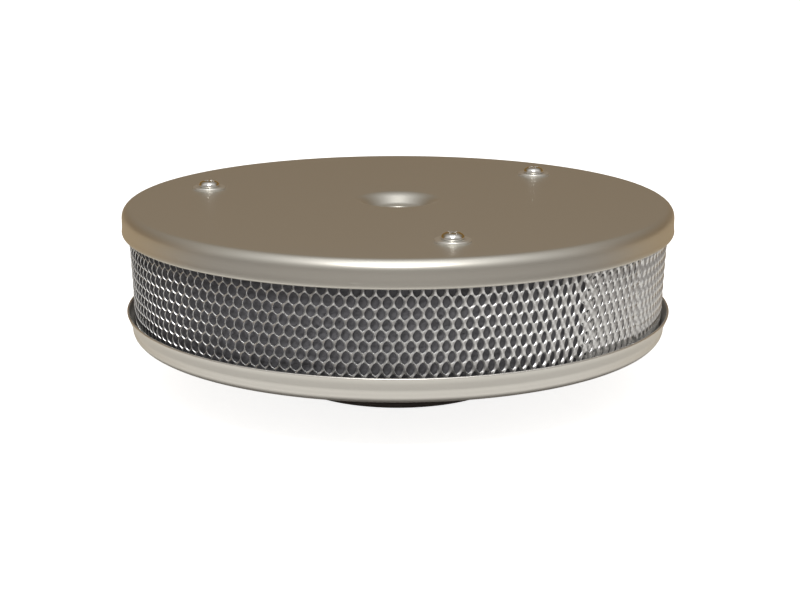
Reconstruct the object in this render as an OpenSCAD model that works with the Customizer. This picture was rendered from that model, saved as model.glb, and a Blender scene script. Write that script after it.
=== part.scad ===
// Round pancake air cleaner for a small engine's carburettor.
// A pressed cover is held by three screws to pillars on a base pan, and clamps a filter ring between them.
// Origin: centre of the neck's open lower end. +Z points up through the neck to the cover.

/* [Cover] */
// Outside diameter of the cover
cover_d = 146; // [125:1:180]
// Height of the cover's skirt, from its lower edge to the flat top
cover_skirt_h = 6.8; // [4:0.1:9]
// Outside radius of the pressed edge between the top and the skirt
cover_edge_r = 2.2; // [1.2:0.1:3]
// Sheet thickness of the cover
cover_t = 0.7; // [0.5:0.1:1]
// Diameter of the round hem along the skirt's lower edge
hem_d = 1.2; // [1.1:0.1:1.4]
// Diameter of the dish pressed into the middle of the cover
dish_d = 22; // [18:1:40]
// Depth of the dish
dish_depth = 2.8; // [1.5:0.1:4]
// Diameter of the flat floor of the dish
dish_floor_d = 13; // [11:0.5:16]
// Diameter of the hole in the dish for a centre stud
stud_hole_d = 8.4; // [6:0.1:10]

/* [Base pan] */
// Sheet thickness of the base pan
pan_t = 0.6; // [0.5:0.1:1]
// Height of the pan's wall, from its underside to the rim
pan_h = 6.6; // [6:0.1:12]
// Outside radius of the pan's bottom corner
pan_corner_r = 2; // [1.2:0.1:2.6]
// How far the pan's straight wall lies inside the cover's outside edge
pan_inset = 2; // [1.8:0.1:4]
// How far the rim flares out from the straight wall
rim_flare = 1.4; // [0.6:0.1:1.8]
// Height of the flared part of the wall
rim_flare_h = 3.5; // [2:0.1:3.8]

/* [Neck] */
// Bore of the neck, which is the outside diameter of the air horn that it fits
neck_bore_d = 52; // [38:0.5:64]
// Wall thickness of the rubber sleeve
sleeve_t = 4; // [2.5:0.1:6]
// Height of the neck under the pan
neck_h = 14.5; // [12:0.5:24]
// Depth of the groove round the sleeve that seats a hose clamp
groove_depth = 0.6; // [0.3:0.1:1]
// Width of that groove
groove_w = 7; // [6:0.1:8]
// Wall thickness of the steel spigot in the sleeve's upper end
spigot_t = 0.8; // [0.6:0.1:1.2]
// How far the spigot reaches down into the sleeve
spigot_drop = 5; // [3:0.5:7]
// Width of the spigot's flange on the pan floor
spigot_flange_w = 5; // [3:0.5:8]

/* [Filter ring] */
// Clear height between the pan floor and the cover, which the filter ring fills
filter_h = 32.9; // [26:0.1:60]
// Radial width of the filter ring at its lower end, screens included
filter_w = 10.8; // [8:0.1:16]
// How much larger in radius the ring is at its upper end
filter_taper = 1.4; // [0.6:0.1:1.4]
// Thickness of the band of expanded metal
outer_screen_t = 1.2; // [0.8:0.1:1.6]
// Thickness of the perforated inner tube
inner_screen_t = 0.6; // [0.4:0.1:1]
// Sheet thickness of the end rings
end_ring_t = 0.3; // [0.2:0.1:0.6]
// Height of the upstand on the inside of each end ring
end_ring_leg = 2.4; // [1.5:0.1:4]
// Thickness of the seals
seal_t = 1.5; // [1:0.1:3]

/* [Screws and pillars] */
// Nominal thread diameter of the screws
screw_d = 3; // [3:0.5:5]
// Length of the screws under the head
screw_l = 8; // [6:0.5:11]
// Diameter of the screw heads
head_d = 5.7; // [5.5:0.1:8]
// Height of the screw heads
head_h = 1.7; // [1.4:0.1:3]
// Depth of the cross recess
recess_depth = 0.9; // [0.8:0.1:1.6]
// Length of each arm of the cross recess, tip to tip
recess_l = 2.9; // [2.5:0.1:4.4]
// Width of the arms of the cross recess
recess_w = 0.7; // [0.6:0.1:1]
// Diameter of the washers
washer_d = 9; // [8:0.1:11]
// Thickness of the washers
washer_t = 0.6; // [0.5:0.1:1.2]
// Diameter of the pillars
pillar_d = 8; // [7:0.1:10]
// Depth of the tapped hole in each pillar
tapped_depth = 12; // [11:0.5:16]
// Diameter of the rivet shank under each pillar
rivet_d = 5; // [3:0.1:6]
// Diameter of the peened rivet head under the pan
rivet_head_d = 8; // [6.5:0.1:10]
// Height of the peened rivet head
rivet_head_h = 0.9; // [0.5:0.1:1.5]
// Direction of the first screw round the cover, in degrees
first_screw_angle = 43.7; // [0:0.1:120]

/* [Clearances] */
// Gap between the filter ring and the pan's straight wall
filter_gap = 0.4; // [0.3:0.1:0.8]
// Gap between the pillars and the filter ring
pillar_gap = 0.9; // [0.5:0.1:2]
// Gap round the screw thread in its tapped hole
thread_gap = 0.05; // [0.02:0.01:0.1]
// Gap round the screw in its washer
washer_gap = 0.15; // [0.1:0.05:0.3]
// Gap round the screw in the cover
cover_hole_gap = 0.3; // [0.2:0.05:0.6]
// Gap between each seal's edge and the pan's corner
seal_gap = 0.2; // [0.1:0.1:1]

/* [Hidden] */
$fn = 96;
slack = 1;
screw_count = 3;
crown_share = 0.75;

// Heights, from the neck's lower end upwards
pan_z = neck_h;
floor_z = pan_z + pan_t;
cover_under_z = floor_z + filter_h;
cover_top_z = cover_under_z + cover_t;
ring_z = floor_z + seal_t;
ring_top_z = cover_under_z - seal_t;
screen_z = ring_z + end_ring_t;
screen_top_z = ring_top_z - end_ring_t;
head_z = cover_top_z + washer_t;

// Radii, from the cover's edge inwards
cover_r = cover_d / 2;
pan_r = cover_r - pan_inset;
screen_r = pan_r - pan_t - filter_gap;
screen_top_r = screen_r + filter_taper;
foam_r = screen_r - outer_screen_t;
foam_top_r = screen_top_r - outer_screen_t;
ring_in_r = screen_r - filter_w;
cage_r = ring_in_r + end_ring_t;
foam_in_r = cage_r + inner_screen_t;
screw_circle_r = ring_in_r - pillar_gap - pillar_d / 2;
seal_r = pan_r - pan_corner_r - seal_gap;
neck_r = neck_bore_d / 2;
spigot_r = neck_r + spigot_t;

// Half-section of a disc of radius r and height h whose upper outer corner is rounded to radius corner
module rounded_slab(r, h, corner) {
    square([r - corner, h]);
    square([r, h - corner]);
    translate([r - corner, h - corner]) circle(corner);
}

// Half-section of the part of the plane to the right of the axis, between two heights
module band(r, z0, z1) {
    translate([0, z0]) square([r, z1 - z0]);
}

// Ring of rectangular section
module ring(r_in, r_out, z, h) {
    rotate_extrude()
        translate([r_in, z]) square([r_out - r_in, h]);
}

// Ring whose outer face, and its inner face when inner_taper is set, widens with height
module tapered_ring(r_in, r_out, z, h, taper, inner_taper) {
    rotate_extrude()
        polygon([[r_in, z], [r_out, z], [r_out + taper, z + h], [r_in + inner_taper, z + h]]);
}

// Puts its children at the numbered screw position
module at_screw(number) {
    rotate(first_screw_angle + 360 / screw_count * (number - 1))
        translate([screw_circle_r, 0, 0]) children();
}

// Half-section of the dish: a spherical slope from the cover's flat top down to its own flat floor
module dish_section() {
    rim_r = dish_d / 2;
    floor_r = dish_floor_d / 2;
    centre_h = (pow(rim_r, 2) - pow(floor_r, 2) - pow(dish_depth, 2)) / (2 * dish_depth);
    sphere_r = sqrt(pow(rim_r, 2) + pow(centre_h, 2));
    intersection() {
        translate([0, cover_top_z + centre_h]) difference() {
            circle(sphere_r + cover_t);
            circle(sphere_r);
        }
        translate([floor_r, cover_top_z - dish_depth - cover_t])
            square([rim_r - floor_r, dish_depth + cover_t]);
    }
    translate([0, cover_top_z - dish_depth - cover_t]) square([floor_r, cover_t]);
}

module cover() {
    skirt_z = cover_top_z - cover_skirt_h;
    color([0.60, 0.57, 0.50]) difference() {
        rotate_extrude() difference() {
            union() {
                difference() {
                    rounded_slab(cover_r, cover_top_z, cover_edge_r);
                    rounded_slab(cover_r - cover_t, cover_under_z, cover_edge_r - cover_t);
                    band(cover_r + slack, -slack, skirt_z + hem_d / 2);
                    band(dish_d / 2, skirt_z, cover_top_z + slack);
                }
                translate([cover_r - hem_d / 2, skirt_z + hem_d / 2]) circle(hem_d / 2);
                dish_section();
            }
            band(stud_hole_d / 2, 0, cover_top_z);
        }
        for (number = [1 : screw_count])
            at_screw(number) translate([0, 0, cover_under_z - slack])
                cylinder(r = screw_d / 2 + cover_hole_gap, h = cover_t + 2 * slack);
    }
}

// Half-section of a pan head: a flat-sided rim that rounds into a shallow crown
module head_section() {
    intersection() {
        rounded_slab(head_d / 2, head_h, head_h * crown_share);
        square([head_d / 2, head_h]);
    }
}

module cover_screw(number) {
    color([0.80, 0.80, 0.78]) at_screw(number) translate([0, 0, head_z]) difference() {
        union() {
            rotate_extrude() head_section();
            translate([0, 0, -screw_l]) cylinder(d = screw_d, h = screw_l + head_h / 2);
        }
        for (arm = [0, 90])
            rotate(arm) translate([-recess_l / 2, -recess_w / 2, head_h - recess_depth])
                cube([recess_l, recess_w, recess_depth + slack]);
    }
}

module screw_washer(number) {
    color([0.72, 0.72, 0.68]) at_screw(number)
        ring(screw_d / 2 + washer_gap, washer_d / 2, cover_top_z, washer_t);
}

module top_seal() {
    color([0.16, 0.16, 0.16]) ring(foam_in_r, seal_r, ring_top_z, seal_t);
}

module bottom_seal() {
    color([0.16, 0.16, 0.16]) ring(foam_in_r, seal_r, floor_z, seal_t);
}

module top_end_ring() {
    color([0.66, 0.66, 0.66]) {
        ring(ring_in_r, screen_top_r, screen_top_z, end_ring_t);
        ring(ring_in_r, cage_r, screen_top_z - end_ring_leg, end_ring_leg);
    }
}

module bottom_end_ring() {
    color([0.66, 0.66, 0.66]) {
        ring(ring_in_r, screen_r, ring_z, end_ring_t);
        ring(ring_in_r, cage_r, screen_z, end_ring_leg);
    }
}

module outer_screen() {
    color([0.70, 0.70, 0.69])
        tapered_ring(foam_r, screen_r, screen_z, screen_top_z - screen_z, filter_taper, filter_taper);
}

module filter_foam() {
    color([0.23, 0.23, 0.24])
        tapered_ring(foam_in_r, foam_r, screen_z, screen_top_z - screen_z, filter_taper, 0);
}

module inner_screen() {
    color([0.66, 0.66, 0.66]) ring(cage_r, foam_in_r, screen_z, screen_top_z - screen_z);
}

module pillar(number) {
    color([0.58, 0.58, 0.56]) at_screw(number) difference() {
        union() {
            translate([0, 0, floor_z]) cylinder(d = pillar_d, h = filter_h);
            translate([0, 0, pan_z - slack / 2]) cylinder(d = rivet_d, h = pan_t + slack);
            translate([0, 0, pan_z - rivet_head_h]) cylinder(d = rivet_head_d, h = rivet_head_h);
        }
        translate([0, 0, cover_under_z - tapped_depth])
            cylinder(r = screw_d / 2 + thread_gap, h = tapped_depth + slack);
    }
}

// Half-section of the pan's flared rim: an arc that leaves the straight wall without a corner
module flare_section() {
    flare_r = (pow(rim_flare_h, 2) + pow(rim_flare, 2)) / (2 * rim_flare);
    flare_z = pan_z + pan_h - rim_flare_h;
    intersection() {
        translate([pan_r + flare_r, flare_z]) difference() {
            circle(flare_r + pan_t);
            circle(flare_r);
        }
        translate([pan_r - pan_t, flare_z]) square([pan_t + rim_flare, rim_flare_h]);
    }
}

module base_pan() {
    wall_top_z = pan_z + pan_h - rim_flare_h;
    color([0.78, 0.76, 0.72]) difference() {
        rotate_extrude() {
            difference() {
                translate([0, wall_top_z]) mirror([0, 1])
                    rounded_slab(pan_r, wall_top_z - pan_z, pan_corner_r);
                translate([0, wall_top_z + slack]) mirror([0, 1])
                    rounded_slab(pan_r - pan_t, wall_top_z + slack - floor_z, pan_corner_r - pan_t);
                band(spigot_r, 0, wall_top_z);
            }
            flare_section();
        }
        for (number = [1 : screw_count])
            at_screw(number) translate([0, 0, pan_z - slack])
                cylinder(d = rivet_d, h = pan_t + 2 * slack);
    }
}

module neck_spigot() {
    color([0.62, 0.62, 0.60]) {
        ring(neck_r, spigot_r, pan_z - spigot_drop, spigot_drop + pan_t + spigot_t);
        ring(neck_r, spigot_r + spigot_flange_w, floor_z, spigot_t);
    }
}

module neck_sleeve() {
    groove_z = (neck_h - spigot_drop - groove_w) / 2;
    color([0.13, 0.12, 0.11]) difference() {
        ring(neck_r, neck_r + sleeve_t, 0, neck_h);
        ring(neck_r - slack, spigot_r, pan_z - spigot_drop, spigot_drop + slack);
        ring(neck_r + sleeve_t - groove_depth, neck_r + sleeve_t + slack, groove_z, groove_w);
    }
}

cover();
cover_screw(1);  // cover_screw_1
cover_screw(2);  // cover_screw_2
cover_screw(3);  // cover_screw_3
screw_washer(1);  // screw_washer_1
screw_washer(2);  // screw_washer_2
screw_washer(3);  // screw_washer_3
top_seal();
top_end_ring();
outer_screen();
filter_foam();
inner_screen();
bottom_end_ring();
bottom_seal();
pillar(1);  // pillar_1
pillar(2);  // pillar_2
pillar(3);  // pillar_3
base_pan();
neck_spigot();
neck_sleeve();
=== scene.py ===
"""Round air cleaner for a small carburettor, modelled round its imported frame.

Every piece is a surface worked out from its sizes, in metres, standing where the frame says.
Run as a script it makes the whole object, its stage, lights and camera.
"""

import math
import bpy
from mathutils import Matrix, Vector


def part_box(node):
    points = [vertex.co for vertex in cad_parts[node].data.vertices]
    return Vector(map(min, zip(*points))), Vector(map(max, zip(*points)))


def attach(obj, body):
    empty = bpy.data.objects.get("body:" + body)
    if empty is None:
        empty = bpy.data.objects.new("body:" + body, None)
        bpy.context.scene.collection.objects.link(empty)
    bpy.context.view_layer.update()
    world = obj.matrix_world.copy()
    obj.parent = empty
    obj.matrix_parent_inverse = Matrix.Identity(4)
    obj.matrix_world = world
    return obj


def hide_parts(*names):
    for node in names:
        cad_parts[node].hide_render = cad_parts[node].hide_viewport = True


bl_info = {
    "name": "Round Air Cleaner",
    "version": (1, 0, 0),
    "blender": (4, 5, 0),
    "location": "3D View > Sidebar > Air Cleaner",
    "description": "Makes a round air cleaner with a pressed cover, a metal screen and a rubber neck",
    "category": "Add Mesh",
}

import bpy
import numpy as np
from mathutils import Vector

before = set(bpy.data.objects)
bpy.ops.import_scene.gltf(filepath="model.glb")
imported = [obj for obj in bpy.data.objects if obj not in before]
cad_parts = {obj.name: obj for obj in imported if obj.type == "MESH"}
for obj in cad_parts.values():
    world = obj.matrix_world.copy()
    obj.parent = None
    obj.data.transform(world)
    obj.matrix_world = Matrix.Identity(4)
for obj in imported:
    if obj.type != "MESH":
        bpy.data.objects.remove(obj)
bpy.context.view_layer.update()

MM = 0.001
TURN = 2 * math.pi
ON_AXIS = 1e-9
SCREWS = 3


def top_of(node):
    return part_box(node)[1].z


def foot_of(node):
    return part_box(node)[0].z


def reach_of(node):
    """Largest distance from the axis of a node that stands round it."""
    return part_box(node)[1].x


def centre_of(node):
    low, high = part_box(node)
    return (low + high) / 2


FIRST_SCREW = math.atan2(centre_of("pillar_1").y, centre_of("pillar_1").x)
SCREW_CIRCLE = math.hypot(centre_of("pillar_1").x, centre_of("pillar_1").y)


# ---------------------------------------------------------------- sizes and colours


def size(name, text, millimetres):
    return bpy.props.FloatProperty(
        name=name, description=text, default=millimetres * MM, min=0.0, precision=5, unit="LENGTH"
    )


def angle(name, text, degrees):
    return bpy.props.FloatProperty(
        name=name, description=text, default=math.radians(degrees), unit="ROTATION"
    )


def colour(name, text, rgb):
    return bpy.props.FloatVectorProperty(
        name=name, description=text, default=rgb, size=3, min=0.0, max=1.0, subtype="COLOR"
    )


class CoverSizes(bpy.types.PropertyGroup):
    sheet: size("Sheet", "Thickness of the pressed sheet", 0.7)
    edge_radius: size("Edge radius", "Outside radius of the edge between top and skirt", 2.6)
    hem: size("Hem", "Thickness of the round hem along the skirt", 1.2)
    hem_step: size("Hem step", "How far the skirt stands back from the hem", 0.12)
    dish_d: size("Dish", "Diameter of the dish in the middle", 22.0)
    dish_depth: size("Dish depth", "Depth of the dish", 2.8)
    dish_floor_d: size("Dish floor", "Diameter of the flat floor of the dish", 13.0)
    stud_hole_d: size("Stud hole", "Diameter of the hole in the dish", 8.4)
    screw_hole_d: size("Screw holes", "Diameter of the holes for the screws", 3.6)
    pillow: size("Pillow", "How far the top swells between its screws", 0.1)


class PanSizes(bpy.types.PropertyGroup):
    sheet: size("Sheet", "Thickness of the pan's sheet", 0.6)
    corner_radius: size("Corner radius", "Outside radius of the bottom corner", 2.0)
    wall_r: size("Wall", "Outside radius of the straight wall", 71.0)
    flare_h: size("Flare", "Height of the flared part of the wall", 3.6)
    neck_hole_r: size("Neck hole", "Radius of the hole for the neck", 26.8)
    bead_h: size("Bead", "Height of the pressed ring in the floor", 0.5)


class NeckSizes(bpy.types.PropertyGroup):
    bore_r: size("Bore", "Inside radius of sleeve and spigot", 26.0)
    spigot_wall: size("Spigot wall", "Wall of the steel spigot", 0.8)
    groove_depth: size("Groove depth", "Depth of the groove for the hose clamp", 0.6)
    groove_foot: size("Groove foot", "Height of the groove's lower edge", 1.25)
    groove_w: size("Groove width", "Width of that groove", 7.0)


class FilterSizes(bpy.types.PropertyGroup):
    ring_in_r: size("Ring", "Inside radius of the filter ring", 59.2)
    sheet: size("Sheet", "Sheet thickness of the end rings", 0.3)
    tube_sheet: size("Tube", "Sheet thickness of the perforated tube", 0.6)
    leg: size("Upstand", "Height of the upstand of each end ring", 2.4)
    perforation_d: size("Perforation", "Diameter of the holes in the inner tube", 3.0)
    perforation_pitch: size("Perforation pitch", "Distance between those holes round the tube", 4.94)
    foam_swell: size("Foam swell", "How far the foam swells towards the screen", 0.25)
    pore: size("Pores", "Typical width of the pores in the foam", 1.1)


class ScreenSizes(bpy.types.PropertyGroup):
    columns: bpy.props.IntProperty(
        name="Columns", description="Openings in one row round the screen", default=163, min=24
    )
    long_pitch: size("Long pitch", "Distance between openings one above the other", 5.32)
    first_row: size("First row", "Height of the middle of the lowest row of openings", 19.86)
    opening_w: size("Opening width", "Width of the openings", 2.0)
    opening_h: size("Opening height", "Height of the openings", 3.12)
    bond_h: size("Bond", "Half the height of the bonds between openings side by side", 0.72)
    sheet: size("Sheet", "Thickness of the expanded sheet", 0.32)
    relief: size("Relief", "How far one edge of an opening stands out, and the other edge back", 0.4)
    seam_start: angle("Seam", "Where the band's outer end starts, from the +X axis", -51.2)
    seam_width: angle("Seam width", "How far the two ends of the band overlap", 17.7)


class FastenerSizes(bpy.types.PropertyGroup):
    head_d: size("Head", "Diameter of the screw heads", 5.7)
    head_h: size("Head height", "Height of the screw heads", 1.7)
    shank_d: size("Thread", "Outside diameter of the thread", 2.9)
    shank_l: size("Length", "Length under the head", 8.0)
    pitch: size("Pitch", "Rise of the thread in one turn", 0.5)
    thread_depth: size("Thread depth", "Depth of the thread", 0.28)
    recess_l: size("Recess", "Length of the cross recess, tip to tip", 2.9)
    recess_w: size("Recess width", "Width of its arms", 0.66)
    recess_depth: size("Recess depth", "Depth of the recess in its middle", 0.9)
    washer_bore: size("Washer bore", "Diameter of the hole in the washers", 3.3)
    tapped_d: size("Tapped hole", "Diameter of the hole in the pillars", 3.1)
    tapped_depth: size("Tapped depth", "Depth of that hole", 12.0)


class FinishColours(bpy.types.PropertyGroup):
    # The cover's brown tone is a painted reflection: neutral steel coloured brown for the brown room it
    # mirrors.
    cover_steel: colour("Cover", "Bright rolled sheet of the cover", (0.48, 0.39, 0.275))
    pan_steel: colour("Pan", "Bright rolled sheet of the base pan", (0.80, 0.775, 0.72))
    screen_steel: colour("Screen", "Raw expanded metal", (0.88, 0.88, 0.86))
    tinplate: colour("Tinplate", "Dull tinned sheet of the filter ring", (0.62, 0.62, 0.61))
    screw_steel: colour("Screws", "Bright plated screws", (0.80, 0.79, 0.75))
    washer_steel: colour("Washers", "Plated washers", (0.66, 0.63, 0.56))
    pillar_steel: colour("Pillars", "Turned and plated pillars", (0.58, 0.58, 0.56))
    spigot_steel: colour("Spigot", "Pressed steel of the spigot", (0.60, 0.60, 0.58))
    seal_rubber: colour("Seals", "Soft rubber of the seals", (0.030, 0.030, 0.031))
    sleeve_rubber: colour("Sleeve", "Moulded rubber of the neck", (0.036, 0.032, 0.026))
    # foam is the pore colour: partly the foam's own dark grey and partly painted shade in the pores;
    # foam_light is the cell walls' own colour.
    foam: colour("Foam", "Dark grey open-cell foam", (0.17, 0.175, 0.182))
    foam_light: colour("Foam cells", "Light walls of the foam's cells", (0.36, 0.365, 0.36))


class StageSettings(bpy.types.PropertyGroup):
    lens: bpy.props.FloatProperty(
        name="Lens", description="Focal length on a 36 mm wide sensor", default=72.05, unit="CAMERA"
    )
    distance: size("Distance", "From the camera to the middle of the object", 430.0)
    elevation: angle("Elevation", "Height of the camera over the horizon", 12.53)
    target_z: size("Target", "Height of the point that the camera looks at", 36.2)
    shift_x: bpy.props.FloatProperty(name="Shift X", description="Sideways shift of the lens", default=0.0025)
    shift_y: bpy.props.FloatProperty(name="Shift Y", description="Upward shift of the lens", default=-0.06925)


# ---------------------------------------------------------------- surfaces


def grid_faces(rows, columns, wrap_rows=True, wrap_columns=True):
    """Four corners of each cell of a grid of points, rows first, as an array (rows, columns, 4)."""
    i = np.arange(rows if wrap_rows else rows - 1)[:, None]
    j = np.arange(columns if wrap_columns else columns - 1)[None, :]
    i_next, j_next = (i + 1) % rows, (j + 1) % columns
    corners = [i * columns + j, i_next * columns + j, i_next * columns + j_next, i * columns + j_next]
    return np.stack(np.broadcast_arrays(*corners), axis=-1)


def make_piece(name, points, faces, sharp=35.0):
    """A mesh object of points (n, 3) and a list of face arrays (m, corners).
    It is shaded smooth but for edges over sharp degrees."""
    faces = [np.asarray(f).reshape(-1, np.asarray(f).shape[-1]) for f in faces if np.asarray(f).size]
    corners = np.concatenate([f.ravel() for f in faces]).astype(np.int32)
    counts = np.concatenate([np.full(len(f), f.shape[1]) for f in faces])
    starts = np.concatenate([[0], np.cumsum(counts)[:-1]]).astype(np.int32)
    mesh = bpy.data.meshes.new(name)
    mesh.vertices.add(len(points))
    mesh.vertices.foreach_set("co", np.asarray(points, np.float32).ravel())
    mesh.loops.add(len(corners))
    mesh.loops.foreach_set("vertex_index", corners)
    mesh.polygons.add(len(starts))
    mesh.polygons.foreach_set("loop_start", starts)
    mesh.update(calc_edges=True)
    if mesh.validate():
        raise RuntimeError(f"{name} has a face that is not valid")
    mesh.shade_smooth()
    mesh.set_sharp_from_angle(angle=math.radians(sharp))
    piece = bpy.data.objects.new(name, mesh)
    bpy.context.scene.collection.objects.link(piece)
    return piece


def welded(points, faces, gap=0.002 * MM):
    """The same surface with points that stand in one place made one."""
    keys = np.round(points / gap).astype(np.int64)
    _, first, which = np.unique(keys, axis=0, return_index=True, return_inverse=True)
    return points[first], [which.ravel()[f] for f in faces]


def rounded_path(corners, radii, steps=6):
    """A line whose inner corners are arcs. An arc touches its sides r / tan(half the angle) away."""
    corners = np.asarray(corners, float)
    path = [corners[:1]]
    for before, here, after, radius in zip(corners, corners[1:], corners[2:], radii):
        back = (before - here) / np.linalg.norm(before - here)
        on = (after - here) / np.linalg.norm(after - here)
        half = math.acos(np.clip(back @ on, -1, 1)) / 2
        middle = here + (back + on) / np.linalg.norm(back + on) * radius / math.sin(half)
        start = here + back * radius / math.tan(half) - middle
        finish = here + on * radius / math.tan(half) - middle
        t = np.linspace(0, 1, steps + 1)[:, None]
        bend = math.pi - 2 * half
        path.append(middle + (start * np.sin((1 - t) * bend) + finish * np.sin(t * bend)) / math.sin(bend))
    path.append(corners[-1:])
    return np.vstack(path)


def rounded_loop(corners, radii, steps=4):
    """A closed outline with every corner rounded."""
    corners = np.asarray(corners, float)
    around = np.vstack([corners[-1:], corners, corners[:1]])
    return rounded_path(around, np.broadcast_to(radii, len(corners)), steps)[1:-1]


def box_outline(r_in, z_low, r_out, z_high, radius, steps=4):
    corners = [(r_in, z_low), (r_out, z_low), (r_out, z_high), (r_in, z_high)]
    return rounded_loop(corners, radius, steps)


def evened(path, step):
    """The same line with points added so that no span is longer than step."""
    spans = np.diff(path, axis=0)
    counts = np.maximum(1, np.ceil(np.linalg.norm(spans, axis=1) / step)).astype(int)
    pieces = [a + d * (np.arange(n) / n)[:, None] for a, d, n in zip(path, spans, counts)]
    return np.vstack([*pieces, path[-1:]])


def sheet_outline(path, thickness, cap=5):
    """Closed section of a sheet: half its thickness to the right of the line going out, and to the left
    coming back, with half circles at both ends."""
    ahead = np.diff(path, axis=0)
    ahead /= np.linalg.norm(ahead, axis=1, keepdims=True)
    along = np.vstack([ahead[:1], ahead[:-1] + ahead[1:], ahead[-1:]])
    along /= np.linalg.norm(along, axis=1, keepdims=True)
    across = np.stack([along[:, 1], -along[:, 0]], axis=1)
    half = (np.broadcast_to(thickness, len(path)) / 2)[:, None]
    t = np.linspace(0, math.pi, cap + 2)[1:-1, None]
    far_end = path[-1] + half[-1] * (across[-1] * np.cos(t) + along[-1] * np.sin(t))
    near_end = path[0] - half[0] * (across[0] * np.cos(t) + along[0] * np.sin(t))
    return np.vstack([path + across * half, far_end, (path - across * half)[::-1], near_end])


def lathed(outline, segments, start=0.0):
    """Outline point (r, z) at angle a stands at (r cos a, r sin a, z); an array (segments, points, 3)."""
    turn = start + TURN * np.arange(segments) / segments
    r, z = outline[:, 0], outline[:, 1]
    flat = np.stack([np.outer(np.cos(turn), r), np.outer(np.sin(turn), r)], axis=-1)
    height = np.broadcast_to(z, (segments, len(z)))[..., None]
    return np.concatenate([flat, height], axis=-1)


def lathe_piece(name, outline, segments, shape=None, start=0.0, sharp=35.0):
    """A closed ring of an outline turned about the axis, its grid of points changed by shape if given."""
    grid = lathed(outline, segments, start)
    grid = grid if shape is None else shape(grid)
    return make_piece(name, grid.reshape(-1, 3), [grid_faces(segments, len(outline))], sharp)


def capped_faces(segments, rows):
    """Faces of a turned body whose first and last rows are single points on the axis, stored last."""
    body = grid_faces(segments, rows, True, False)
    first, last = segments * rows, segments * rows + 1
    i = np.arange(segments)
    i_next = (i + 1) % segments
    bottom = np.stack([np.full(segments, first), i_next * rows, i * rows], axis=1)
    top = np.stack([np.full(segments, last), i * rows + rows - 1, i_next * rows + rows - 1], axis=1)
    return [body, bottom, top]


def turned_piece(name, rows, z_first, z_last, centre, sharp=35.0):
    """A body closed on its own axis: rows is an array (segments, rows, 3) of points about that axis,
    and z_first and z_last are the heights of the two points on it."""
    segments, count = rows.shape[:2]
    poles = [(0, 0, z_first), (0, 0, z_last)]
    points = np.vstack([rows.reshape(-1, 3), poles]) + np.asarray(centre)
    return make_piece(name, points, capped_faces(segments, count), sharp)


def ripple(points, wavelength, seed, waves=24):
    """Smooth random field from about -1 to 1: a sum of sines along random directions, near one wavelength."""
    random = np.random.default_rng(seed)
    direction = random.normal(size=(waves, 3))
    direction /= np.linalg.norm(direction, axis=1, keepdims=True)
    rate = TURN / wavelength * random.uniform(0.6, 1.7, waves)
    phase = random.uniform(0, TURN, waves)
    return np.sin(points @ (direction * rate[:, None]).T + phase).sum(axis=-1) / math.sqrt(waves / 2) / 2


def smooth(x):
    """0 below 0, 1 above 1, and an S-curve between."""
    x = np.clip(x, 0, 1)
    return x * x * (3 - 2 * x)


def screw_places():
    turn = FIRST_SCREW + TURN * np.arange(SCREWS) / SCREWS
    return np.stack([np.cos(turn), np.sin(turn)], axis=1) * SCREW_CIRCLE


# ---------------------------------------------------------------- shader effects


def add(tree, kind, inputs=None, **settings):
    """A node with its settings and its inputs, each a value or another node's output."""
    node = tree.nodes.new(kind)
    for key, value in settings.items():
        setattr(node, key, value)
    for key, value in (inputs or {}).items():
        if isinstance(value, bpy.types.NodeSocket):
            tree.links.new(value, node.inputs[key])
        else:
            node.inputs[key].default_value = value
    return node


def calc(tree, operation, a, b=0.0, clamp=False):
    """Arithmetic on one or two values."""
    return add(tree, "ShaderNodeMath", {0: a, 1: b}, operation=operation, use_clamp=clamp).outputs[0]


def times(tree, a, b):
    return calc(tree, "MULTIPLY", a, b)


def plus(tree, a, b):
    return calc(tree, "ADD", a, b)


def remap(tree, value, from_low, from_high, to_low=0.0, to_high=1.0):
    """A value carried from one range to another and kept inside it."""
    inputs = {"Value": value, "From Min": from_low, "From Max": from_high}
    inputs.update({"To Min": to_low, "To Max": to_high})
    return add(tree, "ShaderNodeMapRange", inputs).outputs[0]


def mixed(tree, factor, a, b, blend="MIX"):
    """Colour a turning to colour b as factor goes from 0 to 1."""
    node = add(tree, "ShaderNodeMix", {0: factor, 6: a, 7: b}, data_type="RGBA", blend_type=blend)
    return node.outputs[2]


def rgba(rgb, gain=1.0):
    return (rgb[0] * gain, rgb[1] * gain, rgb[2] * gain, 1.0)


def new_group(name, inputs, outputs):
    """An empty shader group with named sockets; inputs are (name, kind, default)."""
    tree = bpy.data.node_groups.new(name, "ShaderNodeTree")
    for label, kind, default in inputs:
        socket = tree.interface.new_socket(name=label, in_out="INPUT", socket_type="NodeSocket" + kind)
        if default is not None:
            socket.default_value = default
    for label, kind in outputs:
        tree.interface.new_socket(name=label, in_out="OUTPUT", socket_type="NodeSocket" + kind)
    return tree, tree.nodes.new("NodeGroupInput").outputs, tree.nodes.new("NodeGroupOutput").inputs


def stretched(tree, vector, scale, turn=(0.0, 0.0, 0.0)):
    return add(tree, "ShaderNodeMapping", {"Vector": vector, "Rotation": turn, "Scale": scale}).outputs[0]


def noise(tree, vector, scale, detail=3.0, roughness=0.5, distortion=0.0):
    values = {"Scale": scale, "Detail": detail, "Roughness": roughness, "Distortion": distortion}
    return add(tree, "ShaderNodeTexNoise", {"Vector": vector, **values}).outputs["Fac"]


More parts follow.
